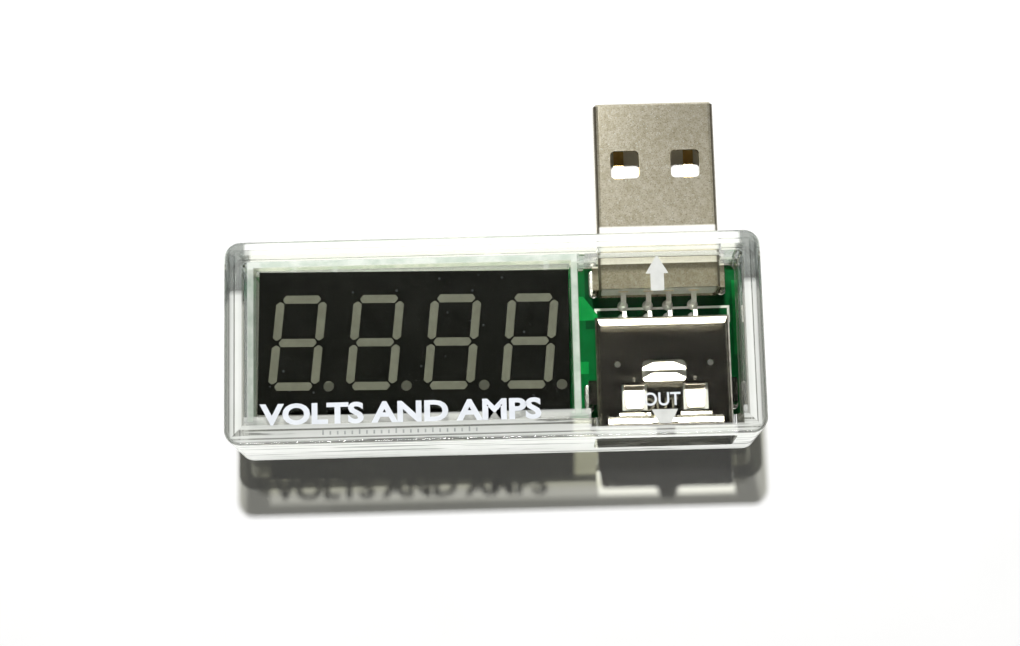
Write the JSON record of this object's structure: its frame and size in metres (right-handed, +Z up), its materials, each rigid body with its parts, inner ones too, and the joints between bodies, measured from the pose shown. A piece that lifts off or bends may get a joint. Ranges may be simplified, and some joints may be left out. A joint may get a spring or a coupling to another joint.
{
  "type": "usb power meter",
  "caption": "Slim clear plastic box with a numeric display under its top, a USB-A plug standing out of one long side and a USB-A socket in the other.",
  "frame": {"origin": "centre of the case's flat bottom face", "axes": "+X along the case towards the end that has the connectors, +Y out along the plug, +Z up out of the display"},
  "size_m": [0.0522, 0.0341, 0.012],
  "materials": {
    "clear_case": "clear moulded plastic, polished",
    "board_green": "green solder mask, gloss",
    "pad_gold": "plated copper",
    "display_grey": "moulded, matte",
    "display_black": "black printed face, satin",
    "segment_grey": "unlit translucent segments",
    "tinned_pin": "tin plated",
    "solder": "bright solder",
    "plug_nickel": "dull nickel plate",
    "socket_nickel": "bright nickel plate",
    "insulator_white": "moulded, matte",
    "contact_gold": "gold plated",
    "chip_black": "moulded epoxy",
    "resistor_black": "coated ceramic",
    "capacitor_tan": "fired ceramic"
  },
  "bodies": {
    "meter": {"case_top": "clear_case", "case_bottom": "clear_case", "circuit_board": "board_green", "board_pads": "pad_gold", "display_housing": "display_grey", "display_face": "display_black", "display_segments": "segment_grey", "display_pins": "tinned_pin", "display_solder": "solder", "connector_solder": "solder", "leg_solder": "solder", "plug_shell": "plug_nickel", "plug_insulator": "insulator_white", "plug_contacts": "contact_gold", "socket_shell": "socket_nickel", "socket_insulator": "insulator_white", "socket_contact_tails": "tinned_pin", "controller_body": "chip_black", "controller_leads": "tinned_pin", "regulator_body": "chip_black", "regulator_leads": "tinned_pin", "amplifier_body": "chip_black", "amplifier_leads": "tinned_pin", "shunt_resistor": "resistor_black", "chip_resistors": "resistor_black", "chip_capacitors": "capacitor_tan", "chip_end_caps": "solder"},
    "socket_contact_1_body": {"socket_contact_1": "contact_gold"},
    "socket_contact_2_body": {"socket_contact_2": "contact_gold"},
    "socket_contact_3_body": {"socket_contact_3": "contact_gold"},
    "socket_contact_4_body": {"socket_contact_4": "contact_gold"},
    "socket_top_spring_left_body": {"socket_top_spring_left": "socket_nickel"},
    "socket_top_spring_right_body": {"socket_top_spring_right": "socket_nickel"},
    "socket_bottom_spring_left_body": {"socket_bottom_spring_left": "socket_nickel"},
    "socket_bottom_spring_right_body": {"socket_bottom_spring_right": "socket_nickel"}
  },
  "joints": [
    {"name": "socket_contact_1_flex", "type": "hinge", "parent": "meter", "child": "socket_contact_1_body", "pos_m": [0.0129, -0.0012, 0.00693], "axis": [-1, 0, 0], "range_deg": [0, 5], "stiffness_Nm_per_rad": 0.03},
    {"name": "socket_contact_2_flex", "type": "hinge", "parent": "meter", "child": "socket_contact_2_body", "pos_m": [0.0154, -0.0012, 0.00693], "axis": [-1, 0, 0], "range_deg": [0, 5], "stiffness_Nm_per_rad": 0.03},
    {"name": "socket_contact_3_flex", "type": "hinge", "parent": "meter", "child": "socket_contact_3_body", "pos_m": [0.0174, -0.0012, 0.00693], "axis": [-1, 0, 0], "range_deg": [0, 5], "stiffness_Nm_per_rad": 0.03},
    {"name": "socket_contact_4_flex", "type": "hinge", "parent": "meter", "child": "socket_contact_4_body", "pos_m": [0.0199, -0.0012, 0.00693], "axis": [-1, 0, 0], "range_deg": [0, 5], "stiffness_Nm_per_rad": 0.03},
    {"name": "socket_top_spring_left_flex", "type": "hinge", "parent": "meter", "child": "socket_top_spring_left_body", "pos_m": [0.01345, -0.00495, 0.00972], "axis": [-1, 0, 0], "range_deg": [0, 9], "stiffness_Nm_per_rad": 0.02},
    {"name": "socket_top_spring_right_flex", "type": "hinge", "parent": "meter", "child": "socket_top_spring_right_body", "pos_m": [0.01935, -0.00495, 0.00972], "axis": [-1, 0, 0], "range_deg": [0, 9], "stiffness_Nm_per_rad": 0.02},
    {"name": "socket_bottom_spring_left_flex", "type": "hinge", "parent": "meter", "child": "socket_bottom_spring_left_body", "pos_m": [0.01345, -0.00495, 0.00428], "axis": [1, 0, 0], "range_deg": [0, 9], "stiffness_Nm_per_rad": 0.02},
    {"name": "socket_bottom_spring_right_flex", "type": "hinge", "parent": "meter", "child": "socket_bottom_spring_right_body", "pos_m": [0.01935, -0.00495, 0.00428], "axis": [1, 0, 0], "range_deg": [0, 9], "stiffness_Nm_per_rad": 0.02}
  ]
}
